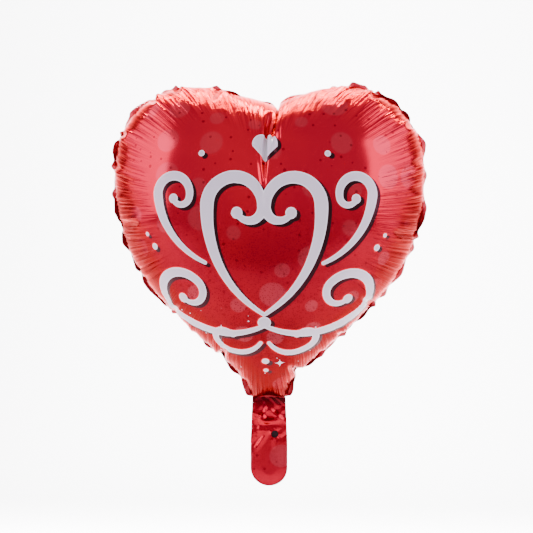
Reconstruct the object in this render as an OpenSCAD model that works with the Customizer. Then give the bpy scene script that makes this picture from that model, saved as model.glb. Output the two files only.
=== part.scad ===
// Heart-shaped foil balloon, inflated, hanging from nothing: its tie line is the origin.
// Two foil films are welded face to face along a heart-shaped seam and run on downwards as a flat
// two-ply tail. Two thinner films between them make the one-way valve. X is across, Y is front to
// back with the printed face at -Y, and Z is up. All sizes are in millimetres.

/* [Inflated heart] */
// Width of the inflated heart at its seam
heart_w = 366; // [300:1:440]
// Height of the lobe tops above the tie line
heart_top = 362; // [330:1:400]
// Thickness of the inflated heart from front to back
heart_depth = 198; // [120:1:220]
// Distance of each lobe's top from the middle
lobe_x = 88; // [70:1:105]
// Depth of the notch between the lobes
cleft_depth = 26; // [15:1:40]
// Height of the widest level above the tie line
flank_z = 245; // [220:1:260]
// Radius of the curved flanks under the lobes
flank_r = 187; // [170:1:220]
// Radius of the rounded corners beside the tip
tip_r = 20; // [12:1:30]
// Half the width of the flat under the tip
tip_x = 9; // [4:0.5:14]
// Height of the belly's deepest point above the tie line
belly_z = 215; // [180:1:240]

/* [Foil film] */
// Thickness of one foil ply
foil_t = 0.4; // [0.3:0.05:0.8]
// Width of the welded seam around the heart
seam_w = 5; // [3:0.5:8]
// Radius of the web between the seam and the tail
root_r = 4; // [2:0.5:8]
// How far above the tie gap that web runs out into the tail
root_rise = 0.8; // [0.4:0.1:3]

/* [Tail] */
// Width of the tail at the tie line
neck_w = 39; // [34:0.5:46]
// Width of the tail at its widest level
tail_w = 44; // [40:0.5:52]
// Depth of that widest level below the tie line
tail_flare_z = 58; // [30:1:64]
// Length of the tail below the tie line
tail_len = 112; // [100:1:140]
// Width of the weld along the tail's edge
tail_weld_w = 3; // [2:0.25:5]
// Depth of the crease across the tail below the tie line
fold_z = 72; // [68:1:76]

/* [Filling port] */
// Diameter of the filling hole in the front ply
port_d = 9; // [6:0.5:11]
// How far the filling hole lies to the side of the middle
port_x = 7; // [0:0.5:8]
// Depth of the filling hole below the tie line
port_z = 49; // [40:1:54]

/* [Valve] */
// Thickness of one valve film
valve_t = 0.3; // [0.2:0.05:0.4]
// Height of the valve's free end inside the heart
valve_top = 66; // [50:1:90]
// How far the valve runs on below the filling hole's centre
valve_under_port = 14; // [8:0.5:16]
// Height of the line about which the valve's free ends bend, above the heart's tip
valve_root_rise = 4; // [3:0.5:8]
// Clearance between the valve's edge and the tail's foil
valve_side_gap = 0.6; // [0.4:0.1:1.5]
// Gap between the two valve films
valve_film_gap = 0.1; // [0.05:0.05:0.2]

/* [Creases] */
// Gap left on each side of the tie line for the bend
tie_gap = 2; // [1.8:0.1:3]
// Gap left on each side of the tail's crease
fold_gap = 1.6; // [1.5:0.1:2.5]
// Gap left on each side of the valve's bending line
valve_gap = 0.6; // [0.5:0.1:1]

/* [Hidden] */

lobe_r = heart_w / 2 - lobe_x;                                   // outer side of a lobe
cleft_r = (lobe_x * lobe_x + cleft_depth * cleft_depth) / (2 * cleft_depth);  // inner side
flank_c = [heart_w / 2 - flank_r, flank_z];
root_c = [neck_w / 2 + root_r, tie_gap + root_rise];
root_way = root_c - flank_c;
flank_angle = -atan2(root_way[1], root_way[0])                   // straight flank, touching both
    - acos((flank_r + seam_w + root_r) / norm(root_way));        // the flank's arc and the web's
flank_n = [cos(flank_angle), -sin(flank_angle)];                 // outward from the straight flank
flank_k = flank_n * flank_c + flank_r;                           // flank_n * point, on that line
tip_z = (flank_n[0] * tip_x + tip_r - flank_k) / sin(flank_angle) - tip_r;
belly = [0, belly_z];

valve_w = neck_w - 2 * (tail_weld_w + foil_t + valve_side_gap);
valve_half_t = valve_t + valve_film_gap / 2;                     // middle plane to valve's face
valve_root_z = tip_z + valve_root_rise;
valve_bottom = port_z + valve_under_port;
lift_margin = 4;                                                 // seam stays lifted this far past the valve
lift_ramp = 6;                                                   // and settles over this distance

rings = 12;                                                      // rings of facets from seam to belly
round_p = 2.2;                                                   // fullness of the belly's profile
round_q = 0.5;                                                   // its steepness at the seam
tip_q = 0.25;                                                    // how much slacker it is at the tip
tip_reach = 80;                                                  // how far that slackness reaches
end_steps = 24;                                                  // sides of the tail's round end

function arc_points(c, r, from, to, n) =
    [for (i = [0 : n - 1]) let (a = from + (to - from) * i / n) c + r * [cos(a), sin(a)]];

function line_points(from, to, n) = [for (i = [0 : n - 1]) from + (to - from) * i / n];

// From the notch, over a lobe and down the flank to the tip's corner, moved outwards by out.
function lobe_and_flank(out) = concat(
    arc_points([lobe_x, heart_top - cleft_r], cleft_r + out, acos(-lobe_x / (cleft_r + out)), 90, 8),
    arc_points([lobe_x, heart_top - lobe_r], lobe_r + out, 90, 0, 12),
    arc_points(flank_c, flank_r + out, 0, -flank_angle, 13));

// Right half of the line where the two panels part.
function seam_half(out) = concat(
    lobe_and_flank(out),
    arc_points([tip_x, tip_z + tip_r], tip_r + out, -flank_angle, -90, 8),
    line_points([tip_x, tip_z - out], [0, tip_z - out], 3),
    [[0, tip_z - out]]);

// Right half of the seam's outer edge, which runs into the tail through a hollow web.
function edge_half() = concat(
    lobe_and_flank(seam_w),
    arc_points(root_c, root_r, 180 - flank_angle, 180, 8),
    line_points([neck_w / 2, tie_gap], [0, tie_gap], 3),
    [[0, tie_gap]]);

function both_sides(half) = concat(half, [for (i = [len(half) - 2 : -1 : 1]) [-half[i][0], half[i][1]]]);

// The panels pass the valve at the tip, so each is lifted there by half the valve's thickness.
function lift(p) = p[1] > tip_z + tip_r ? 0
    : valve_half_t * max(0, min(1, (valve_w / 2 + lift_margin + lift_ramp - abs(p[0])) / lift_ramp));

function share(j) = cos(90 * j / rings);
function bulge(p, s) =
    pow(1 - pow(s, round_p), round_q + tip_q * exp(-pow(norm(p - [0, tip_z]) / tip_reach, 2)));

// One skin of the front panel: seam's edge, seam line, then rings closing on the belly.
function skin(seam, edge, y) = concat(
    [for (p = edge) [p[0], y - lift(p), p[1]]],
    [for (j = [0 : rings - 1]) for (p = seam)
        let (s = share(j), q = belly + (p - belly) * s)
        [q[0], y - lift(p) * s - (heart_depth / 2 - foil_t) * bulge(p, s), q[1]]],
    [[belly[0], y - (heart_depth / 2 - foil_t), belly[1]]]);

module front_shell() {
    edge = both_sides(edge_half());
    outer = skin(both_sides(seam_half(0)), edge, -foil_t);
    inner = skin(both_sides(seam_half(-foil_t)), edge, 0);
    n = len(edge);
    m = len(outer);
    quads = [for (j = [0 : rings - 1]) for (i = [0 : n - 1])
        [j * n + i, j * n + (i + 1) % n, (j + 1) * n + (i + 1) % n, (j + 1) * n + i]];
    triangles = concat(
        [for (q = quads) [q[0], q[1], q[2]]],
        [for (q = quads) [q[0], q[2], q[3]]],
        [for (i = [0 : n - 1]) [rings * n + i, rings * n + (i + 1) % n, m - 1]]);
    rim = [for (i = [0 : n - 1]) let (k = (i + 1) % n) [[i, i + m, k + m], [i, k + m, k]]];
    polyhedron(
        points = concat(outer, inner),
        faces = concat(
            triangles,
            [for (f = triangles) [f[2] + m, f[1] + m, f[0] + m]],
            [for (pair = rim) for (f = pair) f]),
        convexity = 6);
}

// The tail's outline, drawn in by inset on its sides and round end and left open at the tie line.
module tail_shape(inset) {
    half = tail_w / 2 - inset;
    end = arc_points([0, -(tail_len - tail_w / 2)], half, 0, -180, end_steps);
    polygon(concat(
        [[neck_w / 2 - inset, -tie_gap], [half, -tail_flare_z]],
        end,
        [[-half, -(tail_len - tail_w / 2)], [-half, -tail_flare_z], [-(neck_w / 2 - inset), -tie_gap]]));
}

module between(z_low, z_high) {
    intersection() {
        children();
        translate([-tail_w, z_low]) square([2 * tail_w, z_high - z_low]);
    }
}

// Stands a drawing in X and Z up and thickens it towards the front, from y = -from.
module sheet(from, thick) {
    translate([0, -from, 0]) rotate([90, 0, 0]) linear_extrude(thick) children();
}

// A front ply between two levels: a flat welded edge, and a middle that lies on the valve's film.
module front_ply(z_low, z_high) {
    sheet(0, foil_t) between(z_low, z_high) difference() {
        tail_shape(0);
        tail_shape(tail_weld_w);
    }
    sheet(0, valve_half_t + foil_t) between(z_low, z_high) difference() {
        tail_shape(tail_weld_w);
        tail_shape(tail_weld_w + foil_t);
    }
    sheet(valve_half_t, foil_t) between(z_low, z_high) tail_shape(tail_weld_w + foil_t);
}

module port() {
    translate([port_x, 0, -port_z]) rotate([90, 0, 0]) cylinder(d = port_d, h = 2 * (valve_half_t + foil_t), $fn = 48);
}

// A front valve film between two levels, just in front of the middle plane.
module front_film(z_low, z_high) {
    translate([-valve_w / 2, -valve_half_t, z_low]) cube([valve_w, valve_t, z_high - z_low]);
}

module to_back() {
    mirror([0, 1, 0]) children();
}

module front_panel() {
    color("crimson") front_shell();
}

module back_panel() {
    color("firebrick") to_back() front_shell();
}

module tail_front_ply() {
    color("crimson") difference() {
        front_ply(-fold_z + fold_gap, -tie_gap);
        port();
    }
}

module tail_back_ply() {
    color("firebrick") to_back() front_ply(-fold_z + fold_gap, -tie_gap);
}

module tail_end_front_ply() {
    color("crimson") front_ply(-tail_len, -fold_z - fold_gap);
}

module tail_end_back_ply() {
    color("firebrick") to_back() front_ply(-tail_len, -fold_z - fold_gap);
}

module valve_front_flap() {
    color("lavender") front_film(valve_root_z + valve_gap, valve_top);
}

module valve_back_flap() {
    color("lavender") to_back() front_film(valve_root_z + valve_gap, valve_top);
}

module valve_front_throat() {
    color("lightsteelblue") front_film(tie_gap, valve_root_z - valve_gap);
}

module valve_back_throat() {
    color("lightsteelblue") to_back() front_film(tie_gap, valve_root_z - valve_gap);
}

module valve_front_inlet() {
    color("lightsteelblue") difference() {
        front_film(-valve_bottom, -tie_gap);
        port();
    }
}

module valve_back_inlet() {
    color("lightsteelblue") to_back() front_film(-valve_bottom, -tie_gap);
}

front_panel();
back_panel();
tail_front_ply();
tail_back_ply();
tail_end_front_ply();
tail_end_back_ply();
valve_front_flap();
valve_back_flap();
valve_front_throat();
valve_back_throat();
valve_front_inlet();
valve_back_inlet();
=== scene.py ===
from math import acos, atan2, cos, degrees, hypot, pi, radians, sin, sqrt

import bmesh
import bpy
import numpy as np
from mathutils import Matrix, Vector


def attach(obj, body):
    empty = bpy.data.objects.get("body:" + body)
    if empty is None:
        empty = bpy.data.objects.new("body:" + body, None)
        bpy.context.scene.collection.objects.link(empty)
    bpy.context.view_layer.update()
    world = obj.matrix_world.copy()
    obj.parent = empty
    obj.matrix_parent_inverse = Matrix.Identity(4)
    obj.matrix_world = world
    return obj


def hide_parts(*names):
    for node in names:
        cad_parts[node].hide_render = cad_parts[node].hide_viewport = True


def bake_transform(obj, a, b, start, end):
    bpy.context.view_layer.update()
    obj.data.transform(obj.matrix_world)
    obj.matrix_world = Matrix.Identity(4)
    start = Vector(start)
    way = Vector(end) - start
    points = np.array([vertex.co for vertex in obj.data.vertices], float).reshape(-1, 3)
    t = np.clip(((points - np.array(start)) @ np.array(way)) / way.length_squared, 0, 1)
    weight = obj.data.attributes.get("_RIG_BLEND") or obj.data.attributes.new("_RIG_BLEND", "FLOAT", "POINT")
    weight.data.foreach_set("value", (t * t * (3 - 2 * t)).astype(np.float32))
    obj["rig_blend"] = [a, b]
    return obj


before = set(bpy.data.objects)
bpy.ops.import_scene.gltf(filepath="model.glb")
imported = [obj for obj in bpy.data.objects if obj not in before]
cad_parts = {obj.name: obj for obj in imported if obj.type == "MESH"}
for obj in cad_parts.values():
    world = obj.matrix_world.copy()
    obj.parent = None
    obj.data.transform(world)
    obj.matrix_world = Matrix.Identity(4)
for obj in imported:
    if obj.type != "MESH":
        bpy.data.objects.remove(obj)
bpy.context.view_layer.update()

# ------------------------------------------------------------------ the two foil hearts
# Two sheets of thin metallised film are cut flat to one heart, laid face to face and heat-welded round
# the edge. The film hardly stretches, so as the gas fills it the heart draws in and its seam puckers.
CUT_HEART = dict(half_width=0.2240, top=0.409, lobe_x=0.100, notch=0.004, widest_z=0.276,
                 flank_r=0.300, flank_angle=55, tip_r=0.020, tip_x=0.012)
FILLED_HEART = dict(half_width=0.183, top=0.362, lobe_x=0.088, notch=0.026, widest_z=0.245,
                    flank_r=0.187, flank_angle=47, tip_r=0.020, tip_x=0.009)
CUT_MIDDLE = np.array([0.0, 0.240])      # where the rings of the flat sheets close
BELLY = np.array([0.0, 0.215])           # and where they close once filled
HALF_DEPTH = 0.088                       # of the start of the filling; the gas takes it further
WELD = 0.006
NECK_HALF = 0.0195
NECK_Z = 0.002


def arc(cx, cz, radius, start, stop, steps):
    angles = np.radians(np.linspace(start, stop, steps, endpoint=False))
    return np.c_[cx + radius * np.cos(angles), cz + radius * np.sin(angles)]


def heart_line(steps, half_width, top, lobe_x, notch, widest_z, flank_r, flank_angle, tip_r, tip_x):
    """Points evenly round a heart, from its notch over the right lobe to the tip and back on the left."""
    notch_r = (lobe_x ** 2 + notch ** 2) / (2 * notch)
    lean = cos(radians(flank_angle)), sin(radians(flank_angle))
    reach = lean[0] * (half_width - flank_r) - lean[1] * widest_z + flank_r
    tip_z = (lean[0] * tip_x + tip_r - reach) / lean[1] - tip_r
    right = np.vstack([
        arc(lobe_x, top - notch_r, notch_r, degrees(acos(-lobe_x / notch_r)), 90, 60),
        arc(lobe_x, top - half_width + lobe_x, half_width - lobe_x, 90, 0, 90),
        arc(half_width - flank_r, widest_z, flank_r, 0, -flank_angle, 90),
        arc(tip_x, tip_z + tip_r, tip_r, -flank_angle, -90, 30),
        [[tip_x, tip_z], [0, tip_z]]])
    run = np.r_[0, np.cumsum(np.linalg.norm(np.diff(right, axis=0), axis=1))]
    even = np.linspace(0, run[-1], steps // 2 + 1)
    right = np.c_[np.interp(even, run, right[:, 0]), np.interp(even, run, right[:, 1])]
    return np.vstack([right, right[-2:0:-1] * (-1, 1)]), 2 * run[-1]


def outward(line):
    """The direction straight out of a closed line at each of its points."""
    way = np.roll(line, -1, axis=0) - np.roll(line, 1, axis=0)
    return np.c_[-way[:, 1], way[:, 0]] / np.linalg.norm(way, axis=1)[:, None]


FRONT, WELDED, BACK = 0, 1, 2


def flat_hearts(around, rings):
    """Both sheets, still flat, with the weld round them, and the length of the seam."""
    cut, girth = heart_line(around, **CUT_HEART)
    edgeward = outward(cut)
    steps = np.linspace(0, 1, rings + 1)
    bm = bmesh.new()
    # the rings lie closest together near the seam, where the film puckers
    spoke = [bm.verts.new((0, 0, 1 - 0.55 * u - 0.45 * u * u)) for u in steps[:-1]]
    lines = [bm.edges.new(pair) for pair in zip(spoke, spoke[1:])]
    bmesh.ops.spin(bm, geom=spoke + lines, cent=(0, 0, 0), axis=(0, 1, 0), angle=2 * pi,
                   steps=around, use_merge=True)

    def place(v):
        return round(atan2(v.co.x, v.co.z) / (2 * pi) * around) % around, hypot(v.co.x, v.co.z)

    for fewer, within in ((2, 0.5), (4, 0.25), (8, 0.12)):
        spare = []
        for e in bm.edges:
            (k, s), (k2, s2) = place(e.verts[0]), place(e.verts[1])
            if k == k2 and k % fewer == fewer // 2 and max(s, s2) < within:
                spare.append(e)
        bmesh.ops.dissolve_edges(bm, edges=spare, use_verts=True)
    inner = min(place(v)[1] for v in bm.verts)
    bmesh.ops.pointmerge(bm, verts=[v for v in bm.verts if place(v)[1] < inner * 1.01], merge_co=(0, 0, 0))
    bmesh.ops.triangulate(bm, faces=[f for f in bm.faces if len(f.verts) > 4])
    seam = []
    for v in bm.verts:
        k, s = place(v)
        if s > 0.9999:
            seam.append((v, k))
        x, z = CUT_MIDDLE + (cut[k] - CUT_MIDDLE) * s
        v.co = x, 0, z
    bmesh.ops.recalc_face_normals(bm, faces=bm.faces)
    if bm.faces[0].normal.y > 0:
        bmesh.ops.reverse_faces(bm, faces=bm.faces)
    copy = bmesh.ops.duplicate(bm, geom=bm.verts[:] + bm.edges[:] + bm.faces[:])
    behind = [f for f in copy["geom"] if isinstance(f, bmesh.types.BMFace)]
    bmesh.ops.reverse_faces(bm, faces=behind)
    for f in behind:
        f.material_index = BACK
    bmesh.ops.weld_verts(bm, targetmap={copy["vert_map"][v]: v for v, k in seam})
    where = dict(seam)
    rim = [e for e in bm.edges if e.verts[0] in where and e.verts[1] in where]
    for row in (1, 2):
        made = bmesh.ops.extrude_edge_only(bm, edges=rim)["geom"]
        moved = {}
        for e in made:
            if isinstance(e, bmesh.types.BMFace):
                e.material_index = WELDED
                near = [v for v in e.verts if v in where]
                for v in e.verts:
                    if v not in where:
                        old = min(near, key=lambda n: (n.co - v.co).length)
                        moved[v] = where[old]
        for v, k in moved.items():
            x, z = cut[k] + edgeward[k] * WELD * row / 2
            v.co = x, 0, z
        where = moved
        rim = [e for e in made if isinstance(e, bmesh.types.BMEdge)
               and e.verts[0] in moved and e.verts[1] in moved]
    bm.verts.index_update()
    parts = {v.index: {f.material_index for f in v.link_faces} for v in bm.verts}
    ordered = sorted(bm.verts, key=lambda v: (min(parts[v.index]), max(parts[v.index]),
                                              round(v.co.x, 6), round(v.co.z, 6)))
    rank = {v.index: i for i, v in enumerate(ordered)}
    bm.verts.sort(key=lambda v: rank[v.index])
    bm.verts.index_update()
    bm.edges.sort(key=lambda e: min(v.index for v in e.verts) * len(bm.verts) + max(v.index for v in e.verts))
    bm.faces.sort(key=lambda f: min(v.index for v in f.verts) * len(bm.verts) + sum(v.index for v in f.verts))
    return bm, girth


def as_mesh(bm, name):
    mesh = bpy.data.meshes.new(name)
    bm.to_mesh(mesh)
    bm.free()
    return mesh


def spots(mesh):
    out = np.empty(3 * len(mesh.vertices))
    mesh.vertices.foreach_get("co", out)
    return out.reshape(-1, 3)


def corners_of(mesh):
    """The mesh's four-sided and three-sided faces as arrays of points, and what each is part of."""
    corner = np.empty(len(mesh.loops), int)
    start, total, part = (np.empty(len(mesh.polygons), int) for _ in range(3))
    mesh.loops.foreach_get("vertex_index", corner)
    mesh.polygons.foreach_get("loop_start", start)
    mesh.polygons.foreach_get("loop_total", total)
    mesh.polygons.foreach_get("material_index", part)
    found = []
    for sides in (4, 3):
        faces = corner[start[total == sides][:, None] + np.arange(sides)]
        first = faces.argmin(axis=1)[:, None]
        faces = np.take_along_axis(faces, (first + np.arange(sides)) % sides, axis=1)
        order = np.lexsort(faces.T)
        found += [faces[order], part[total == sides][order]]
    return found


def in_turns(pairs, lengths, count):
    """Sorts pairs of points into groups in which no point comes twice, so that a group moves at once."""
    left, groups = np.random.default_rng(1).permutation(len(pairs)), []
    while len(left):
        p, rank = pairs[left], np.arange(len(left))
        first = np.full(count, len(pairs))
        np.minimum.at(first, p[:, 0], rank)
        np.minimum.at(first, p[:, 1], rank)
        free = (first[p[:, 0]] == rank) & (first[p[:, 1]] == rank)
        turn = left[free]
        groups.append((pairs[turn, 0], pairs[turn, 1], lengths[turn].astype(np.float32)))
        left = left[~free]
    return groups


def marks_of(mesh, name):
    out = np.empty(len(mesh.vertices))
    mesh.attributes[name].data.foreach_get("value", out)
    return out


GAS, SPEED_KEPT, UNEVEN = 4e-6, 0.98, 0.0002      # each step's push and kept speed; the sheets' first waviness


def fill(mesh, flat, points, stages):
    """Fills the welded sheets with gas. Film resists stretching fully, and folding and shortening a little.

    A stage is its number of steps, how far shortening and folding are undone in each, and how straight
    the film may stay across an edge before it counts as folded.
    """
    fours, four_part, threes, three_part = corners_of(mesh)
    count = len(flat)
    edges = np.empty(2 * len(mesh.edges), int)
    mesh.edges.foreach_get("vertices", edges)
    threads = np.vstack([edges.reshape(-1, 2), fours[:, [0, 2]], fours[:, [1, 3]]])
    film = np.unique(np.sort(threads, axis=1), axis=0)
    keys, near, far = [], [], []
    for i in range(4):
        a, b = fours[:, i], fours[:, (i + 1) % 4]
        low = a < b
        before, after = fours[:, i - 1], fours[:, (i + 2) % 4]
        keys.append(np.minimum(a, b) * count + np.maximum(a, b))
        near.append(np.where(low, before, after))
        far.append(np.where(low, after, before))
    keys, near, far = (np.concatenate(c) for c in (keys, near, far))
    order = np.argsort(keys, kind="stable")
    keys, near, far = keys[order], near[order], far[order]
    _, at, times = np.unique(keys, return_index=True, return_counts=True)
    at = at[times == 2]
    hinges = np.vstack([np.c_[near[at], near[at + 1]], np.c_[far[at], far[at + 1]]])
    bends = np.unique(np.sort(hinges, axis=1), axis=0)
    length = lambda pairs: np.linalg.norm(flat[pairs[:, 0]] - flat[pairs[:, 1]], axis=1)
    film, bends = in_turns(film, length(film), count), in_turns(bends, length(bends), count)

    def patch(faces):
        one, other = flat[faces[:, 2]] - flat[faces[:, 0]], flat[faces[:, -1]] - flat[faces[:, 1]]
        return np.linalg.norm(np.cross(one, other), axis=1) / 2

    share = np.bincount(fours.ravel(), np.repeat(patch(fours) / 4, 4), count)
    share += np.bincount(threes.ravel(), np.repeat(patch(threes) / 3, 3), count)
    fours, threes = fours[four_part != WELDED], threes[three_part != WELDED]
    push = (GAS / share)[:, None]
    neck = marks_of(mesh, "neck") > 0.9
    held = points[neck].astype(np.float32)
    x = points.astype(np.float32)
    x[:, 1] += np.random.default_rng(4).normal(0, UNEVEN, count).astype(np.float32)
    speed = np.zeros_like(x)
    step = 0
    for steps, shorten, fold, straight in stages:
        for _ in range(steps):
            if step % 2 == 0:
                face4 = np.cross(x[fours[:, 2]] - x[fours[:, 0]], x[fours[:, 3]] - x[fours[:, 1]]) / 8
                face3 = np.cross(x[threes[:, 1]] - x[threes[:, 0]], x[threes[:, 2]] - x[threes[:, 0]]) / 6
                force = np.stack([np.bincount(fours.ravel(), np.repeat(face4[:, c], 4), count)
                                  + np.bincount(threes.ravel(), np.repeat(face3[:, c], 3), count)
                                  for c in range(3)], axis=1)
                force = (force * push).astype(np.float32)
            step += 1
            speed = (speed + force) * np.float32(SPEED_KEPT)
            before = x.copy()
            x += speed
            for a, b, rest in film:
                d = x[b] - x[a]
                now = np.sqrt(np.einsum("ij,ij->i", d, d)) + np.float32(1e-9)
                extra = now - rest
                d *= (extra / now * np.where(extra > 0, np.float32(0.5), np.float32(0.5 * shorten)))[:, None]
                x[a] += d
                x[b] -= d
            for a, b, rest in bends:
                d = x[b] - x[a]
                now = np.sqrt(np.einsum("ij,ij->i", d, d)) + np.float32(1e-9)
                extra = np.minimum(now - rest * np.float32(straight), 0)
                d *= (extra / now * np.float32(0.5 * fold))[:, None]
                x[a] += d
                x[b] -= d
            x[neck] = held
            speed = x - before
    return x.astype(float)


def finer(mesh, points):
    """The same film with every face cut in four."""
    bm = bmesh.new()
    bm.from_mesh(mesh)
    for v, p in zip(bm.verts, points):
        v.co = p
    bmesh.ops.subdivide_edges(bm, edges=bm.edges, cuts=1, use_grid_fill=True)
    return as_mesh(bm, mesh.name)


def exact(at):
    """Rounded to about a micrometre, on a grid that halving twice keeps exact, so each run is the same."""
    return np.round(at * 2 ** 20) / 2 ** 20


AROUND, RINGS = 256, 27
COARSE_STAGES = [(380, 0.02, 0.05, 0.97), (150, 0.15, 0.35, 0.97)]
FINE_STAGES = [(200, 0.2, 0.45, 0.98)]
bm, GIRTH = flat_hearts(AROUND, RINGS)
coarse = as_mesh(bm, "film")
flat = exact(spots(coarse))
filled, _ = heart_line(AROUND, **FILLED_HEART)
cut, _ = heart_line(AROUND, **CUT_HEART)
fours, four_part, threes, three_part = corners_of(coarse)
side = np.zeros(len(flat))
for faces, part in ((fours, four_part), (threes, three_part)):
    side[faces[part == FRONT].ravel()] = -1
    side[faces[part == BACK].ravel()] = 1
welded = np.zeros(len(flat), bool)
welded[fours[four_part == WELDED].ravel()] = True


def on_cut(flat):
    """Where each flat point lies: its turn round the heart, its share of the way out, and that way's length."""
    spoke = flat[:, [0, 2]] - CUT_MIDDLE
    ray = cut - CUT_MIDDLE
    bearing = np.arctan2(ray[:, 0], ray[:, 1]) % (2 * pi)
    bearing[0] = 0
    here = np.arctan2(spoke[:, 0], spoke[:, 1]) % (2 * pi)
    length = np.linalg.norm(ray, axis=1)
    turn = np.interp(here, np.r_[bearing, 2 * pi], np.arange(AROUND + 1))
    reach = np.interp(here, np.r_[bearing, 2 * pi], np.r_[length, length[0]])
    return turn, np.linalg.norm(spoke, axis=1) / reach, reach


def round_to(line, turn):
    """The places on a heart line at these turns."""
    steps = np.arange(AROUND + 1)
    return np.stack([np.interp(turn, steps, np.r_[line[:, c], line[0, c]]) for c in (0, 1)], axis=1)


# each point starts near its filled place, so that the gas has little left to do
turn, share, reach = on_cut(flat)
lip = np.clip(share - 1, 0, None) * reach
share = np.clip(share, 0, 1)
plan = BELLY + (round_to(filled, turn) - BELLY) * np.sin(pi / 2 * share)[:, None]
plan += round_to(outward(filled), turn) * lip[:, None]
start = np.c_[plan[:, 0], side * HALF_DEPTH * np.cos(pi / 2 * share), plan[:, 1]]
start[welded, 1] = 0
# the lowest row between the welds is the neck, which stays flat and in its place
neck = (flat[:, 2] < flat[:, 2].min() + 0.0018) & (np.abs(flat[:, 0]) < NECK_HALF + 0.0012)
start[neck] = np.c_[flat[neck, 0] * NECK_HALF / np.abs(flat[neck, 0]).max(), np.zeros(neck.sum()),
                    np.full(neck.sum(), NECK_Z)]
coarse.attributes.new("neck", "FLOAT", "POINT").data.foreach_set("value", neck.astype(float))
start = fill(coarse, flat, start, COARSE_STAGES)
flat = spots(finer(coarse, flat))
film_mesh = finer(coarse, exact(start))
points = spots(film_mesh)
points = fill(film_mesh, flat, points, FINE_STAGES)
CUT_LOW = float(flat[:, 2].min())
turn, share, reach = on_cut(flat)
along = np.minimum(turn, AROUND - turn) * GIRTH / AROUND
inward = (1 - share) * reach

# The solver's puckers are coarser than real film's, which leave the edge nearly smooth. So most of their
# swing is taken out of the seam again, less and less inwards, except at the notch and the tip.
EDGE_REACH = 0.030
SWING_OUT, SWAY_OUT = 0.85, 0.7          # of the seam's swing in the heart's plane, and of its sway across it
NOTCH_CLEAR, NOTCH_FADE = 0.035, 0.04
TIP_CLEAR, TIP_FADE = 0.05, 0.05
seam = np.flatnonzero(np.abs(inward) < 0.0002)
seam = seam[np.argsort(turn[seam], kind="stable")]
smooth_line, _ = heart_line(8 * AROUND, **FILLED_HEART)
gap = smooth_line[None] - points[seam][:, None, [0, 2]]
nearest = np.argmin((gap ** 2).sum(axis=2), axis=1)
let_out = np.insert(SWING_OUT * gap[np.arange(len(seam)), nearest], 1, -SWAY_OUT * points[seam, 1], axis=1)
past_notch = np.clip((along[seam] - NOTCH_CLEAR) / NOTCH_FADE, 0, 1)
before_tip = np.clip((GIRTH / 2 - along[seam] - TIP_CLEAR) / TIP_FADE, 0, 1)
let_out *= (past_notch * before_tip)[:, None]
near_edge = np.exp(-(np.clip(inward, 0, None) / EDGE_REACH) ** 2)
for c in range(3):
    points[:, c] += near_edge * np.interp(turn, turn[seam], let_out[:, c], period=AROUND)


# ------------------------------------------------------------------ the neck and the creases below it
# The gas is kept in by the valve, which lies flat between the sheets at the neck and presses itself shut.
# Below it both sheets have been folded and gripped, so they are creased together.
TAIL_HALF = 0.022
TAIL_WIDE_Z = -0.058
TAIL_TOP_Z = -0.0045
TAIL_END_Z = -0.112
TAIL_WELD = 0.003
FOLD_Z = -0.072
PLY_GAP = 0.00008                        # from a ply to the middle plane where both are pressed flat
PORT_X, PORT_Z, PORT_R = 0.007, -0.049, 0.0045
PORT_ROW, TAIL_ROWS, END_ROWS, COLUMNS = 40, 77, 16, 24
draw = np.random.default_rng(11)
# each crease's place, direction, half width, half length and height
CREASES = [(draw.uniform(-0.019, 0.019), draw.uniform(-0.060, 0.0), draw.uniform(0, pi),
            draw.uniform(0.002, 0.006), draw.uniform(0.008, 0.022), draw.uniform(-0.0021, 0.0021))
           for _ in range(34)]
CREASES.append((0.001, -0.033, 0.05, 0.0045, 0.016, -0.0035))


def crease(x, z):
    """How far the tail's creases push both plies to the back at this place."""
    y = 0
    for cx, cz, way, width, length, height in CREASES:
        along = (x - cx) * cos(way) + (z - cz) * sin(way)
        across = (z - cz) * cos(way) - (x - cx) * sin(way)
        y += height * max(0, 1 - abs(across) / width) * max(0, 1 - (along / length) ** 2)
    fade = min(1, max(0, -z / 0.006)) * min(1, max(0.12, (z - FOLD_Z + 0.012) / 0.03))
    return y * fade


def tail_half(z):
    """Half the tail's width at a height, which grows from the neck downwards."""
    return NECK_HALF + (TAIL_HALF - NECK_HALF) * min(1, max(0, z / TAIL_WIDE_Z))


def ply_spot(x, z, inside, toward):
    """A place on a ply: pressed flat to the other at the neck and the weld, and slightly puffed between."""
    puff = (0.0003 + 0.0019 * min(1, max(0, -z / 0.02))) * min(1, max(0, inside) / 0.010) ** 0.6
    return x, crease(x, z) + toward * (PLY_GAP + puff * min(1, max(0, (NECK_Z - z) / 0.006))), z


# ------------------------------------------------------------------ the front film's heart
# The printed front sheet of metallised film, as far as the neck, with its side of the weld. Where the seam
# had to draw in, the film lies in fine pleats that run inwards from the edge and die away. Its red is a
# transparent ink over the metal, under white scrolls with a black drop shadow, pale discs, specks and stars.
LONGEST_PLEAT = 0.11
PLEAT_START = 0.004
PLEAT_STEP, PLEAT_WIDTH, PLEAT_DEPTH = (0.0038, 0.0068), (0.0014, 0.0024), (0.0005, 0.0010)
PLEAT_LENGTH, DEEP_LENGTH = (0.040, 0.085), (0.070, 0.105)
DEEP_SHARE, DEEPER_BY = 0.16, 1.7


def pleats(side, seed):
    """Each pleat's place along the seam from the notch, its width, depth and length."""
    draw = np.random.default_rng(seed + side)
    place, rows = 0.007, []
    while place < GIRTH / 2 - 0.03:
        deep = draw.random() < DEEP_SHARE
        rows.append((place, draw.uniform(*PLEAT_WIDTH), draw.uniform(*PLEAT_DEPTH) * (DEEPER_BY if deep else 1),
                     draw.uniform(*(DEEP_LENGTH if deep else PLEAT_LENGTH))))
        place += draw.uniform(*PLEAT_STEP)
    return rows


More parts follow.
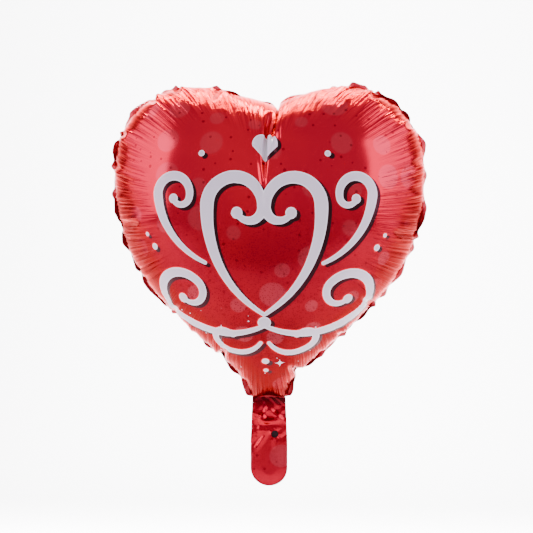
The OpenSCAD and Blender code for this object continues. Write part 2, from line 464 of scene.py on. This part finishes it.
def pleated(mesh, seed):
    """Presses the pleats into a film's finished mesh, across its surface."""
    co, normal = spots(mesh), np.empty(3 * len(mesh.vertices))
    mesh.vertices.foreach_get("normal", normal)
    run, depth = np.empty(len(co)), np.empty(len(co))
    mesh.attributes["along"].data.foreach_get("value", run)
    mesh.attributes["inward"].data.foreach_get("value", depth)
    sunk = np.zeros(len(co))
    for side in (0, 1):
        half = np.flatnonzero(((co[:, 0] > 0) == (side == 1)) & (depth > 0.0002) & (depth < LONGEST_PLEAT))
        for place, width, deep, long in pleats(side, seed):
            at = half[(np.abs(run[half] - place) < 3 * width) & (depth[half] < long)]
            across = (run[at] - place) / (width * (1 - 0.45 * depth[at] / long))
            dying = (1 - depth[at] / long) ** 0.8
            sunk[at] -= deep * np.exp(-across ** 2) * dying * np.clip(depth[at] / PLEAT_START, 0, 1)
    co += normal.reshape(-1, 3) * sunk[:, None]
    mesh.vertices.foreach_set("co", co.ravel())


def film_piece(name, part, toward, seed):
    """One film's heart and its side of the weld."""
    bm = bmesh.new()
    bm.from_mesh(film_mesh)
    run_at, deep_at = bm.verts.layers.float.new("along"), bm.verts.layers.float.new("inward")
    cut_at = bm.verts.layers.float_vector.new("spot")
    for v, p, c, a, d in zip(bm.verts, points, flat, along, inward):
        v.co, v[cut_at], v[run_at], v[deep_at] = p, (c[0], c[2], 0), a, d
    bmesh.ops.delete(bm, geom=[f for f in bm.faces if f.material_index not in (part, WELDED)], context="FACES")
    neck_at = bm.verts.layers.float["neck"]
    rim = [e for e in bm.edges if e.is_boundary and min(v[neck_at] for v in e.verts) > 0.9]
    for z in (0.0005, -0.0015, -0.0035, -0.0052):
        made = bmesh.ops.extrude_edge_only(bm, edges=rim)["geom"]
        rim = [e for e in made if isinstance(e, bmesh.types.BMEdge) and e.is_boundary
               and abs(e.verts[0].co.x - e.verts[1].co.x) > 1e-4]
        for v in made:
            if isinstance(v, bmesh.types.BMVert):
                x = v.co.x / NECK_HALF * tail_half(z) if z > 0 else v.co.x
                v.co = ply_spot(x, z, tail_half(z) - abs(x) - TAIL_WELD, toward * 1.02)
                v[cut_at] = (x, CUT_LOW + z - NECK_Z, 0)
    bmesh.ops.recalc_face_normals(bm, faces=bm.faces)
    bm.faces.ensure_lookup_table()
    facing = min(bm.faces, key=lambda f: (f.calc_center_median() - Vector((0, toward * 0.1, 0.215))).length)
    if facing.normal.y * toward < 0:
        bmesh.ops.reverse_faces(bm, faces=bm.faces)
    bm.normal_update()
    for v in bm.verts:
        if v[deep_at] < -1e-5 and v.co.z > NECK_Z - 1e-4:
            v.co += v.normal * 0.0001
    cut_uv, pleat_uv = bm.loops.layers.uv.new("cut"), bm.loops.layers.uv.new("pleat")
    for f in bm.faces:
        f.smooth = True
        f.material_index = 0
        for corner in f.loops:
            corner[cut_uv].uv = corner.vert[cut_at][:2]
            corner[pleat_uv].uv = (corner.vert[run_at], corner.vert[deep_at])
    piece = bpy.data.objects.new(name, as_mesh(bm, name))
    bpy.context.scene.collection.objects.link(piece)
    rounder = piece.modifiers.new("rounder", "SUBSURF")
    rounder.levels = rounder.render_levels = 1
    bpy.context.view_layer.update()
    whole = bpy.data.meshes.new_from_object(piece.evaluated_get(bpy.context.evaluated_depsgraph_get()))
    piece.modifiers.clear()
    piece.data = whole
    whole.name = name
    pleated(whole, seed)
    return piece


def new_group(name, inputs, outputs):
    group = bpy.data.node_groups.new(name, "ShaderNodeTree")
    for kind, sockets in (("INPUT", inputs), ("OUTPUT", outputs)):
        for label, sort in sockets:
            group.interface.new_socket(label, in_out=kind, socket_type="NodeSocket" + sort)
    return group, group.nodes.new("NodeGroupInput"), group.nodes.new("NodeGroupOutput")


def join(tree, node, socket, value):
    if isinstance(value, bpy.types.NodeSocket):
        tree.links.new(value, node.inputs[socket])
    elif value is not None:
        node.inputs[socket].default_value = value


def math(tree, operation, *values, clamp=False):
    node = tree.nodes.new("ShaderNodeMath")
    node.operation, node.use_clamp = operation, clamp
    for i, value in enumerate(values):
        join(tree, node, i, value)
    return node.outputs[0]


def vector(tree, operation, *values, out="Vector"):
    node = tree.nodes.new("ShaderNodeVectorMath")
    node.operation = operation
    for i, value in enumerate(values):
        join(tree, node, i, value)
    return node.outputs[out]


def mix(tree, factor, one, two):
    node = tree.nodes.new("ShaderNodeMix")
    node.data_type = "RGBA"
    join(tree, node, 0, factor)
    join(tree, node, 6, one)
    join(tree, node, 7, two)
    return node.outputs[2]


def ramp(tree, value, start, stop, low=0.0, high=1.0):
    node = tree.nodes.new("ShaderNodeMapRange")
    for i, v in enumerate((value, start, stop, low, high)):
        join(tree, node, i, v)
    return node.outputs[0]


def arc_stroke_group():
    """How far a point is outside a stroke along an arc, whose width changes evenly from start to end."""
    group, inlet, outlet = new_group(
        "arc_stroke", [("Place", "Vector"), ("Centre", "Vector"), ("Middle", "Float"), ("Radius", "Float"),
                       ("Half Sweep", "Float"), ("Start", "Float"), ("End", "Float")], [("Outside", "Float")])
    local = vector(group, "SUBTRACT", inlet.outputs["Place"], inlet.outputs["Centre"])
    turn = group.nodes.new("ShaderNodeVectorRotate")
    turn.rotation_type = "Z_AXIS"
    turn.invert = True
    join(group, turn, "Vector", local)
    join(group, turn, "Angle", inlet.outputs["Middle"])
    parts = group.nodes.new("ShaderNodeSeparateXYZ")
    join(group, parts, 0, turn.outputs[0])
    bearing = math(group, "ARCTAN2", parts.outputs[1], parts.outputs[0])
    low = math(group, "MULTIPLY", inlet.outputs["Half Sweep"], -1.0)
    bearing = math(group, "MINIMUM", math(group, "MAXIMUM", bearing, low), inlet.outputs["Half Sweep"])
    spot = group.nodes.new("ShaderNodeCombineXYZ")
    join(group, spot, 0, math(group, "MULTIPLY", math(group, "COSINE", bearing), inlet.outputs["Radius"]))
    join(group, spot, 1, math(group, "MULTIPLY", math(group, "SINE", bearing), inlet.outputs["Radius"]))
    off = vector(group, "DISTANCE", turn.outputs[0], spot.outputs[0], out="Value")
    half = ramp(group, bearing, low, inlet.outputs["Half Sweep"], inlet.outputs["Start"], inlet.outputs["End"])
    join(group, outlet, 0, math(group, "SUBTRACT", off, half))
    return group


BOLD = 1.2


def scrolls():
    """The scrolls' arcs on the right half: centre, middle bearing, radius, half sweep and the end half widths."""
    mm, arcs, dots = 0.001, [], []
    strokes = (
        # start, heading, then each arc's radius, sweep and half width at its end; the last is the ball it ends in
        ((0, 116), 35, 1.6, ((130, 55, 5.6), (27, 180, 4.2), (13, 150, 2.2)), 4.6),
        ((0, 104), -28, 1.8, ((110, 50, 5.2), (28, 200, 3.6), (14, 180, 2.2)), 4.4),
        ((56, 166), 20, 1.6, ((80, 60, 4.4), (17, 200, 3.0), (8.5, 150, 2.0)), 3.8),
        ((4, 84), -60, 1.6, ((30, 90, 3.8), (12, 190, 2.2)), 3.6),
        ((0, 269), 62.5, 0.8, ((200, 5.2, 8.6),), 0),
    )
    for (x, z), heading, half, bends, ball in strokes:
        for radius, sweep, end in bends:
            a = radians(heading)
            cx, cz = x - radius * sin(a), z + radius * cos(a)
            heading += sweep
            b = radians(heading)
            x, z = cx + radius * sin(b), cz - radius * cos(b)
            arcs.append(((cx * mm, cz * mm, 0), (a + b) / 2 - pi / 2, radius * mm, radians(sweep) / 2,
                         BOLD * half * mm, BOLD * end * mm))
            half = end
        if ball:
            dots.append(((x * mm, z * mm, 0), BOLD * ball * mm))
    dots += [((0, 0.1075, 0), 0.0062), ((0.113, 0.176, 0), 0.0034), ((0.122, 0.188, 0), 0.0022),
             ((0.066, 0.270, 0), 0.0030), ((0, 0.060, 0), 0.0036), ((0, 0.047, 0), 0.0024)]
    return arcs, dots


def motif_group():
    """How far a place on the cut is outside the printed scrolls; the left half mirrors the right one."""
    group, inlet, outlet = new_group("scroll_print", [("Place", "Vector")], [("Outside", "Float")])
    arc_stroke = arc_stroke_group()
    parts = group.nodes.new("ShaderNodeSeparateXYZ")
    join(group, parts, 0, inlet.outputs[0])
    spot = group.nodes.new("ShaderNodeCombineXYZ")
    join(group, spot, 0, math(group, "ABSOLUTE", parts.outputs[0]))
    join(group, spot, 1, parts.outputs[1])
    arcs, dots = scrolls()
    nearest = None
    for centre, middle, radius, half_sweep, start, end in arcs:
        node = group.nodes.new("ShaderNodeGroup")
        node.node_tree = arc_stroke
        for i, value in enumerate((spot.outputs[0], centre, middle, radius, half_sweep, start, end)):
            join(group, node, i, value)
        nearest = node.outputs[0] if nearest is None else math(group, "MINIMUM", nearest, node.outputs[0])
    for centre, size in dots:
        far = math(group, "SUBTRACT", vector(group, "DISTANCE", spot.outputs[0], centre, out="Value"), size)
        nearest = math(group, "MINIMUM", nearest, far)
    join(group, outlet, 0, nearest)
    return group


def discs_group():
    """Scattered round marks: 1 inside them. Size is in cells, and only cells over Rarity have one."""
    group, inlet, outlet = new_group(
        "scattered_discs", [("Place", "Vector"), ("Scale", "Float"), ("Size", "Float"), ("Rarity", "Float"),
                            ("Scatter", "Float")],
        [("Mask", "Float")])
    cells = group.nodes.new("ShaderNodeTexVoronoi")
    cells.voronoi_dimensions = "2D"
    join(group, cells, "Vector", inlet.outputs["Place"])
    join(group, cells, "Scale", inlet.outputs["Scale"])
    join(group, cells, "Randomness", inlet.outputs["Scatter"])
    tone = group.nodes.new("ShaderNodeSeparateColor")
    join(group, tone, 0, cells.outputs["Color"])
    size = math(group, "MULTIPLY", inlet.outputs["Size"], math(group, "MULTIPLY_ADD", tone.outputs[1], 0.6, 0.5))
    inside = math(group, "MULTIPLY", math(group, "SUBTRACT", size, cells.outputs["Distance"]), 40.0, clamp=True)
    chosen = math(group, "GREATER_THAN", tone.outputs[0], inlet.outputs["Rarity"])
    join(group, outlet, 0, math(group, "MULTIPLY", inside, chosen))
    return group


FOIL_RED = (0.80, 0.006, 0.034)
# the next two reds: the print's darker lower part, deepened by painted shade, and painted shade at the neck
LOW_RED_AND_SHADE, NECK_SHADE_RED = (0.20, 0.002, 0.005, 1), (0.05, 0.002, 0.003, 1)
DISC_RED, SPECK_RED, GRAIN_RED = (0.9, 0.22, 0.26, 1), (0.16, 0.002, 0.004, 1), (0.10, 0.002, 0.004, 1)
WELD_RED, HALO_RED = (0.62, 0.035, 0.05, 1), (0.80, 0.012, 0.02, 1)
BLACK_INK, WHITE_RIM, WHITE_INK = (0.006, 0.005, 0.006, 1), (0.96, 0.95, 0.97, 1), (0.76, 0.73, 0.77, 1)
SPARK_WHITE = (0.95, 0.88, 0.88, 1)
FOIL_METAL, INK_METAL = 0.88, 0.02
PRINT_SCALE, PRINT_LIFT, PRINT_MIDDLE_Z = 1.14, 0.012, 0.18
SHADE_STEP, HALO, RIM = (0.0042, 0.0028), 0.0011, 0.0012
SPARK_Z = 0.075
STARS = ((0.016, 0.052, 0.0068), (-0.048, 0.098, 0.0050))    # place on the cut, and size


def deeper(red, green, blue):
    """The foil's red with each part taken down by its share."""
    return FOIL_RED[0] * red, FOIL_RED[1] * green, FOIL_RED[2] * blue, 1


def foil(name, prints):
    """Red foil, with painted shade in its streaks near the seam and on its lower flanks, and the print if it has
    one.
    """
    mat = bpy.data.materials.new(name)
    mat.use_nodes = True
    tree = mat.node_tree
    skin = tree.nodes["Principled BSDF"]
    skin.inputs["Roughness"].default_value = 0.17
    skin.inputs["Specular Tint"].default_value = (0.95, 0.12, 0.16, 1)
    skin.inputs["Coat Weight"].default_value = 0.05
    skin.inputs["Coat Roughness"].default_value = 0.06
    cut_at, pleat_at = tree.nodes.new("ShaderNodeUVMap"), tree.nodes.new("ShaderNodeUVMap")
    cut_at.uv_map, pleat_at.uv_map = "cut", "pleat"
    place = cut_at.outputs[0]
    parts = tree.nodes.new("ShaderNodeSeparateXYZ")
    join(tree, parts, 0, place)
    x, z = parts.outputs[0], parts.outputs[1]
    cloud = tree.nodes.new("ShaderNodeTexNoise")
    cloud.noise_dimensions = "2D"
    join(tree, cloud, "Vector", place)
    cloud.inputs["Scale"].default_value = 9
    colour = mix(tree, ramp(tree, cloud.outputs[0], 0.35, 0.65), deeper(0.82, 1, 1), deeper(1, 1, 1))
    stretch = tree.nodes.new("ShaderNodeMapping")
    join(tree, stretch, "Vector", pleat_at.outputs[0])
    stretch.inputs["Scale"].default_value = (270, 7, 1)
    streak = tree.nodes.new("ShaderNodeTexNoise")
    streak.noise_dimensions = "2D"
    join(tree, streak, "Vector", stretch.outputs[0])
    streak.inputs["Scale"].default_value = 1
    streak.inputs["Detail"].default_value = 2
    sides = tree.nodes.new("ShaderNodeSeparateXYZ")
    join(tree, sides, 0, pleat_at.outputs[0])
    near_seam = ramp(tree, sides.outputs[1], 0.095, 0.055)
    # painted shade: near the seam the streaks are darkened, as if shaded in the pleats' folds
    lines = math(tree, "MULTIPLY", ramp(tree, streak.outputs[0], 0.48, 0.58), near_seam)
    colour = mix(tree, math(tree, "MULTIPLY", lines, 0.7), colour, deeper(0.42, 0.4, 0.5))
    # painted shade: the lower flanks near the seam are darkened, as if less light reflected there
    flank_shade = math(tree, "MULTIPLY", ramp(tree, z, 0.34, 0.22), ramp(tree, sides.outputs[1], 0.125, 0.050))
    flank_shade = math(tree, "MULTIPLY", flank_shade, ramp(tree, z, CUT_LOW, CUT_LOW + 0.02))
    colour = mix(tree, math(tree, "MULTIPLY", flank_shade, 0.85), colour, deeper(0.34, 0.5, 0.5))
    metal = FOIL_METAL
    if prints:
        discs = discs_group()

        def marks(scale, size, rarity, scatter=1.0):
            """Scattered discs, so many a metre, with their size in cells and the share of cells left bare."""
            node = tree.nodes.new("ShaderNodeGroup")
            node.node_tree = discs
            for i, value in enumerate((place, scale, size, rarity, scatter)):
                join(tree, node, i, value)
            return node.outputs[0]

        # the print's darker lower part, deepened further by painted shade towards the bottom
        low = math(tree, "MULTIPLY", ramp(tree, z, 0.27, 0.09),
                   ramp(tree, z, CUT_LOW - 0.002, CUT_LOW + 0.006, 0.42, 1.0))
        colour = mix(tree, math(tree, "MULTIPLY", low, 0.94), colour, LOW_RED_AND_SHADE)
        pale = marks(scale=24, size=0.34, rarity=0.35, scatter=0.5)
        colour = mix(tree, math(tree, "MULTIPLY", pale, 0.10), colour, DISC_RED)
        specks = marks(scale=75, size=0.14, rarity=0.55)
        colour = mix(tree, math(tree, "MULTIPLY", specks, 0.55), colour, SPECK_RED)
        grain = math(tree, "MULTIPLY", marks(scale=420, size=0.32, rarity=0.3), math(tree, "MULTIPLY", low, 0.7))
        colour = mix(tree, grain, colour, GRAIN_RED)
        # painted shade: a dark patch at the heart's tip, where the valve lies behind the film, and a dark band
        # down the top of the tail
        patch = tree.nodes.new("ShaderNodeCombineXYZ")
        join(tree, patch, 0, math(tree, "DIVIDE", math(tree, "SUBTRACT", x, 0.002), 0.0085))
        join(tree, patch, 1, math(tree, "DIVIDE", math(tree, "SUBTRACT", z, CUT_LOW + 0.019), 0.012))
        dark = ramp(tree, vector(tree, "LENGTH", patch.outputs[0], out="Value"), 1.15, 0.85)
        dark = math(tree, "MAXIMUM", dark, math(tree, "MULTIPLY", ramp(tree, z, CUT_LOW + 0.008, CUT_LOW),
                                               ramp(tree, z, CUT_LOW - 0.024, CUT_LOW - 0.010)))
        colour = mix(tree, math(tree, "MULTIPLY", dark, 0.85), colour, NECK_SHADE_RED)
        off_band = math(tree, "ABSOLUTE", math(tree, "SUBTRACT", z, SPARK_Z))
        spark = math(tree, "MULTIPLY", marks(scale=70, size=0.075, rarity=0.72),
                     ramp(tree, off_band, 0.05, 0.035))
        for sx, sz, size in STARS:
            arm = math(tree, "ADD", math(tree, "SQRT", math(tree, "ABSOLUTE", math(tree, "SUBTRACT", x, sx))),
                       math(tree, "SQRT", math(tree, "ABSOLUTE", math(tree, "SUBTRACT", z, sz))))
            spark = math(tree, "MAXIMUM", spark, math(tree, "LESS_THAN", arm, sqrt(size)))
        motif = motif_group()

        def printed(step_x, step_z):
            """How far a place is outside the scrolls, enlarged about their middle and moved by a step."""
            node = tree.nodes.new("ShaderNodeGroup")
            node.node_tree = motif
            kept_z = (PRINT_SCALE - 1) * PRINT_MIDDLE_Z / PRINT_SCALE
            moved = vector(tree, "MULTIPLY_ADD", place, (1 / PRINT_SCALE,) * 3,
                           (-step_x / PRINT_SCALE, kept_z - step_z / PRINT_SCALE, 0))
            join(tree, node, 0, moved)
            return math(tree, "MULTIPLY", node.outputs[0], PRINT_SCALE)

        ink, shade = printed(0, PRINT_LIFT), printed(SHADE_STEP[0], PRINT_LIFT - SHADE_STEP[1])
        near = math(tree, "LESS_THAN", ink, HALO)
        on_shade, on_ink, on_face = (math(tree, "LESS_THAN", d, s)
                                     for d, s in ((shade, 0), (ink, 0), (ink, -RIM)))
        colour = mix(tree, near, colour, HALO_RED)
        colour = mix(tree, on_shade, colour, BLACK_INK)
        colour = mix(tree, on_ink, colour, WHITE_RIM)
        colour = mix(tree, on_face, colour, WHITE_INK)
        colour = mix(tree, spark, colour, SPARK_WHITE)
        opaque = math(tree, "MAXIMUM", math(tree, "MAXIMUM", on_ink, on_shade), spark)
        metal = math(tree, "MULTIPLY_ADD", opaque, INK_METAL - FOIL_METAL, FOIL_METAL)
    lip = ramp(tree, sides.outputs[1], 0.0, -0.0008)
    colour = mix(tree, math(tree, "MULTIPLY", lip, 0.7), colour, WELD_RED)
    metal = math(tree, "MULTIPLY", metal, math(tree, "MULTIPLY_ADD", lip, -0.75, 1))
    join(tree, skin, "Base Color", colour)
    join(tree, skin, "Metallic", metal)
    bump = tree.nodes.new("ShaderNodeBump")
    join(tree, bump, "Height", streak.outputs[0])
    join(tree, bump, "Strength", ramp(tree, sides.outputs[1], 0.095, 0.050, 0.0, 0.9))
    bump.inputs["Distance"].default_value = 0.0020
    join(tree, skin, "Normal", bump.outputs[0])
    return mat


def wear(piece, mat):
    piece.data.materials.clear()
    piece.data.materials.append(mat)


printed_foil = foil("printed_red_foil", True)
front_film = film_piece("front_film", FRONT, -1, 20)
wear(front_film, printed_foil)
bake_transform(front_film, "envelope", "tail", start=(0, 0, NECK_Z), end=(0, 0, TAIL_TOP_Z))
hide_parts("front_panel")

# ------------------------------------------------------------------ the back film's heart
# The plain back sheet of the same metallised film, the front one's mirror image, welded to it all round.
plain_foil = foil("plain_red_foil", False)
back_film = film_piece("back_film", BACK, 1, 40)
wear(back_film, plain_foil)
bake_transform(back_film, "envelope", "tail", start=(0, 0, NECK_Z), end=(0, 0, TAIL_TOP_Z))
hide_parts("back_panel")

# ------------------------------------------------------------------ the front film's tail
# Below the neck both sheets run on as a flat tail with a round end, welded along its edge. It holds the
# filling valve, and has been folded and gripped, so it is creased. The filling port is a punched hole.
def tail_spot(u, row):
    """Where a point u across the tail, from -1 to 1, and row down it lies, and how far inside the weld."""
    if row <= TAIL_ROWS:
        z = TAIL_TOP_Z + (PORT_Z - TAIL_TOP_Z) * row / PORT_ROW
        half = tail_half(z)
        return u * half, z, half * (1 - abs(u)) - TAIL_WELD
    last = TAIL_TOP_Z + (PORT_Z - TAIL_TOP_Z) * TAIL_ROWS / PORT_ROW
    w = (row - TAIL_ROWS) / END_ROWS
    x, drop = u * sqrt(1 - w * w / 2), w * sqrt(1 - u * u / 2)
    return x * TAIL_HALF, last + (TAIL_END_Z - last) * drop, TAIL_HALF * (1 - hypot(x, drop)) - TAIL_WELD


def tail_piece(name, toward, port):
    """One ply of the tail, with the punched port if it has one."""
    bm = bmesh.new()
    rows = TAIL_ROWS + END_ROWS
    grid = bmesh.ops.create_grid(bm, x_segments=COLUMNS, y_segments=rows, size=1)["verts"]
    at = {v: (v.co.x, (1 - v.co.y) / 2 * rows) for v in grid}
    for v, (u, row) in at.items():
        v.co = ply_spot(*tail_spot(u, row), toward)
    if port:
        column = round((PORT_X / TAIL_HALF + 1) / 2 * COLUMNS)
        inside = [f for f in bm.faces
                  if all(abs((at[v][0] + 1) / 2 * COLUMNS - column) < 4.1 and abs(at[v][1] - PORT_ROW) < 6.1
                         for v in f.verts)]
        rim = list({e for f in inside for e in f.edges if any(g not in inside for g in e.link_faces)})
        bmesh.ops.delete(bm, geom=inside, context="FACES")
        for radius in (PORT_R * 1.25, PORT_R * 1.04, PORT_R):
            made = bmesh.ops.extrude_edge_only(bm, edges=rim)["geom"]
            rim = [e for e in made if isinstance(e, bmesh.types.BMEdge) and len(e.link_faces) == 1]
            for v in {v for e in rim for v in e.verts}:
                dx, dz = v.co.x - PORT_X, v.co.z - PORT_Z
                away = hypot(dx, dz)
                v.co = (PORT_X + dx * radius / away, v.co.y, PORT_Z + dz * radius / away)
    bm.normal_update()
    if sum(f.normal.y for f in bm.faces) * toward < 0:
        bmesh.ops.reverse_faces(bm, faces=bm.faces)
    cut_uv, pleat_uv = bm.loops.layers.uv.new("cut"), bm.loops.layers.uv.new("pleat")
    for f in bm.faces:
        f.smooth = True
        for corner in f.loops:
            corner[cut_uv].uv = (corner.vert.co.x, CUT_LOW + corner.vert.co.z - NECK_Z)
            corner[pleat_uv].uv = (0, 1)
    piece = bpy.data.objects.new(name, as_mesh(bm, name))
    bpy.context.scene.collection.objects.link(piece)
    rounder = piece.modifiers.new("rounder", "SUBSURF")
    rounder.levels = rounder.render_levels = 1
    return piece


front_tail = tail_piece("front_film_tail", -1, True)
wear(front_tail, printed_foil)
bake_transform(front_tail, "tail", "tail_end", start=(0, 0, FOLD_Z + 0.007), end=(0, 0, FOLD_Z - 0.007))
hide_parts("tail_front_ply", "tail_end_front_ply")

# ------------------------------------------------------------------ the back film's tail
# The back sheet's half of the tail, creased together with the front one and without a port.
back_tail = tail_piece("back_film_tail", 1, False)
wear(back_tail, plain_foil)
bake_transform(back_tail, "tail", "tail_end", start=(0, 0, FOLD_Z + 0.007), end=(0, 0, FOLD_Z - 0.007))
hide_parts("tail_back_ply", "tail_end_back_ply")

# ------------------------------------------------------------------ the valve's front film
# Two strips of thin clear film, welded into the tail along their sides, are a flat one-way valve: gas blown
# in at the port runs up between them into the heart, whose pressure then presses their free ends together.
VALVE_HALF = 0.0155
VALVE_ROOT_Z = 0.01292
VALVE_TOP_Z = 0.066
VALVE_LOW_Z = PORT_Z - 0.014
VALVE_GAP, VALVE_ROW, FLAP_GAP = 0.00025, 0.00175, 0.0005


def valve_strip(name, low, high, toward, port):
    """A length of one valve film, which follows the tail's creases, with the port if it has one."""
    bm = bmesh.new()
    rows = round((high - low) / VALVE_ROW)
    bmesh.ops.create_grid(bm, x_segments=18, y_segments=rows, size=1)
    for v in bm.verts:
        x, z = v.co.x * VALVE_HALF, low + (v.co.y + 1) / 2 * (high - low)
        v.co = x, crease(x, z) + toward * VALVE_GAP, z
    if port:
        inside = [f for f in bm.faces
                  if all(max(abs(v.co.x - PORT_X), abs(v.co.z - PORT_Z)) < PORT_R + 0.003 for v in f.verts)]
        rim = list({e for f in inside for e in f.edges if any(g not in inside for g in e.link_faces)})
        bmesh.ops.delete(bm, geom=inside, context="FACES")
        made = bmesh.ops.extrude_edge_only(bm, edges=rim)["geom"]
        for v in made:
            if isinstance(v, bmesh.types.BMVert):
                dx, dz = v.co.x - PORT_X, v.co.z - PORT_Z
                away = hypot(dx, dz)
                v.co = (PORT_X + dx * PORT_R / away, v.co.y, PORT_Z + dz * PORT_R / away)
    bm.normal_update()
    if sum(f.normal.y for f in bm.faces) * toward < 0:
        bmesh.ops.reverse_faces(bm, faces=bm.faces)
    for f in bm.faces:
        f.smooth = True
    piece = bpy.data.objects.new(name, as_mesh(bm, name))
    bpy.context.scene.collection.objects.link(piece)
    return piece


# the clear valve film is coloured near black: painted shade of the balloon's dark inside, seen through the port
valve_film = bpy.data.materials.new("clear_valve_film")
valve_film.use_nodes = True
skin = valve_film.node_tree.nodes["Principled BSDF"]
skin.inputs["Base Color"].default_value = (0.018, 0.006, 0.007, 1)
skin.inputs["Roughness"].default_value = 0.6
skin.inputs["Specular IOR Level"].default_value = 0.2
front_strip = valve_strip("valve_front_film", VALVE_LOW_Z, VALVE_ROOT_Z, -1, True)
wear(front_strip, valve_film)
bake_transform(front_strip, "envelope", "tail", start=(0, 0, 0.004), end=(0, 0, -0.004))
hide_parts("valve_front_inlet", "valve_front_throat")

front_flap = valve_strip("valve_front_flap_film", VALVE_ROOT_Z + FLAP_GAP, VALVE_TOP_Z, -1, False)
wear(front_flap, valve_film)
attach(front_flap, "valve_front")
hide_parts("valve_front_flap")

# ------------------------------------------------------------------ the valve's back film
# The second strip, which closes on the first one above the weld and shows dark through the filling port.
back_strip = valve_strip("valve_back_film", VALVE_LOW_Z, VALVE_ROOT_Z, 1, False)
wear(back_strip, valve_film)
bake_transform(back_strip, "envelope", "tail", start=(0, 0, 0.004), end=(0, 0, -0.004))
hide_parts("valve_back_inlet", "valve_back_throat")

back_flap = valve_strip("valve_back_flap_film", VALVE_ROOT_Z + FLAP_GAP, VALVE_TOP_Z, 1, False)
wear(back_flap, valve_film)
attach(back_flap, "valve_back")
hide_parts("valve_back_flap")

# ------------------------------------------------------------------ the studio
# The balloon hangs in front of a pale seamless sweep that has its own lights, between two large soft
# lights whose reflections run down its sides.
def soft_light(name, place, target, width, height, power, colour=(1, 1, 1)):
    lamp = bpy.data.lights.new(name, "AREA")
    lamp.shape, lamp.size, lamp.size_y, lamp.energy = "RECTANGLE", width, height, power
    lamp.color = colour
    stand = bpy.data.objects.new(name, lamp)
    bpy.context.scene.collection.objects.link(stand)
    stand.location = place
    stand.rotation_euler = (Vector(target) - Vector(place)).to_track_quat("-Z", "Y").to_euler()


def sweep():
    floor_z, wall_y, bend = -0.62, 3.1, 0.9
    bm = bmesh.new()
    profile = [(-3.0, floor_z), (wall_y - bend, floor_z)]
    profile += [(wall_y - bend + bend * sin(radians(a)), floor_z + bend - bend * cos(radians(a)))
                for a in range(9, 91, 9)]
    profile.append((wall_y, 3.4))
    line = [bm.verts.new((-4.5, y, z)) for y, z in profile]
    edges = [bm.edges.new(pair) for pair in zip(line, line[1:])]
    made = bmesh.ops.extrude_edge_only(bm, edges=edges)["geom"]
    bmesh.ops.translate(bm, verts=[v for v in made if isinstance(v, bmesh.types.BMVert)], vec=(9, 0, 0))
    bmesh.ops.recalc_face_normals(bm, faces=bm.faces)
    for f in bm.faces:
        f.smooth = True
    piece = bpy.data.objects.new("sweep", as_mesh(bm, "sweep"))
    bpy.context.scene.collection.objects.link(piece)
    paper = bpy.data.materials.new("sweep_paper")
    paper.use_nodes = True
    paper.node_tree.nodes["Principled BSDF"].inputs["Base Color"].default_value = (0.78, 0.78, 0.78, 1)
    paper.node_tree.nodes["Principled BSDF"].inputs["Roughness"].default_value = 0.85
    piece.data.materials.append(paper)


sweep()
world = bpy.data.worlds.new("studio")
bpy.context.scene.world = world
world.use_nodes = True
world.node_tree.nodes["Background"].inputs["Color"].default_value = (1, 0.97, 0.97, 1)
world.node_tree.nodes["Background"].inputs["Strength"].default_value = 0.62
PINK = (1, 0.8, 1.25)
soft_light("key_left", (-2.35, -0.75, 1.2), (0, -0.65, 0.7), width=2.9, height=2.7, power=72, colour=PINK)
soft_light("key_right", (2.35, -0.75, 1.2), (0, -0.65, 0.7), width=2.9, height=2.7, power=72, colour=PINK)
soft_light("wall_light_low", (0, 1.5, -0.5), (0, 3.1, 0.5), width=2.2, height=0.4, power=345)
soft_light("wall_light_high", (0, 1.5, 2.4), (0, 3.1, 0.3), width=2.2, height=0.6, power=550)

camera = bpy.data.objects.new("camera", bpy.data.cameras.new("camera"))
bpy.context.scene.collection.objects.link(camera)
bpy.context.scene.camera = camera
AIM, AWAY, VIEW_WIDTH, SENSOR = Vector((-0.003, 0, 0.151)), 2.0, 0.631, 36
turned, raised = radians(3.5), radians(4.5)
camera.location = AIM + AWAY * Vector((sin(turned) * cos(raised), -cos(turned) * cos(raised), sin(raised)))
camera.rotation_euler = (AIM - camera.location).to_track_quat("-Z", "Y").to_euler()
camera.data.sensor_width = SENSOR
camera.data.lens = SENSOR * AWAY / VIEW_WIDTH
